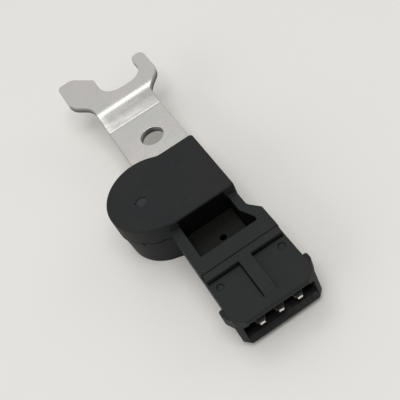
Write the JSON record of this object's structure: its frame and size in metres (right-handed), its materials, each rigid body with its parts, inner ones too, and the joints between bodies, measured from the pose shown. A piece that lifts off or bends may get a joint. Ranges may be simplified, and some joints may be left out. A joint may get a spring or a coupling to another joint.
{
  "type": "camshaft position sensor",
  "caption": "Hall-effect position sensor: a D-shaped moulded head with a plug shroud on a short neck, on a joggled sheet-steel bracket that ends in an open fork.",
  "frame": {"origin": "on the bolt hole's axis, in the bracket's seating face (its underside)", "axes": "+Z out of the bolt hole, up from the seating face; -Y towards the plug's mouth, +Y towards the fork; +X to the right when the head is looked at from the plug's side"},
  "size_m": [0.0351, 0.1063, 0.0145],
  "materials": {
    "housing_plastic": "fine spark-eroded texture, glass-filled nylon",
    "carrier_plastic": "smooth, glass-filled nylon",
    "bracket_steel": "zinc plated, satin, lightly pitted",
    "blade_metal": "tinned bright",
    "board_laminate": "solder-masked glass epoxy",
    "chip_epoxy": "moulded epoxy",
    "lead_metal": "tinned",
    "magnet_alloy": "sintered, nickel plated",
    "pole_steel": "plain soft steel",
    "holder_plastic": "smooth",
    "capacitor_ceramic": "fired ceramic with tinned ends",
    "resistor_film": "glazed film on ceramic with tinned ends",
    "solder_metal": "bright solder"
  },
  "bodies": {
    "root": {"outer_housing": "housing_plastic", "terminal_carrier": "carrier_plastic", "mounting_bracket": "bracket_steel", "supply_terminal": "blade_metal", "signal_terminal": "blade_metal", "ground_terminal": "blade_metal", "circuit_board": "board_laminate", "hall_package": "chip_epoxy", "hall_supply_lead": "lead_metal", "hall_signal_lead": "lead_metal", "hall_ground_lead": "lead_metal", "bias_magnet": "magnet_alloy", "pole_piece": "pole_steel", "magnet_holder": "holder_plastic", "supply_capacitor": "capacitor_ceramic", "signal_capacitor": "capacitor_ceramic", "series_resistor": "resistor_film", "terminal_solder_joints": "solder_metal", "lead_solder_joints": "solder_metal"}
  },
  "joints": []
}
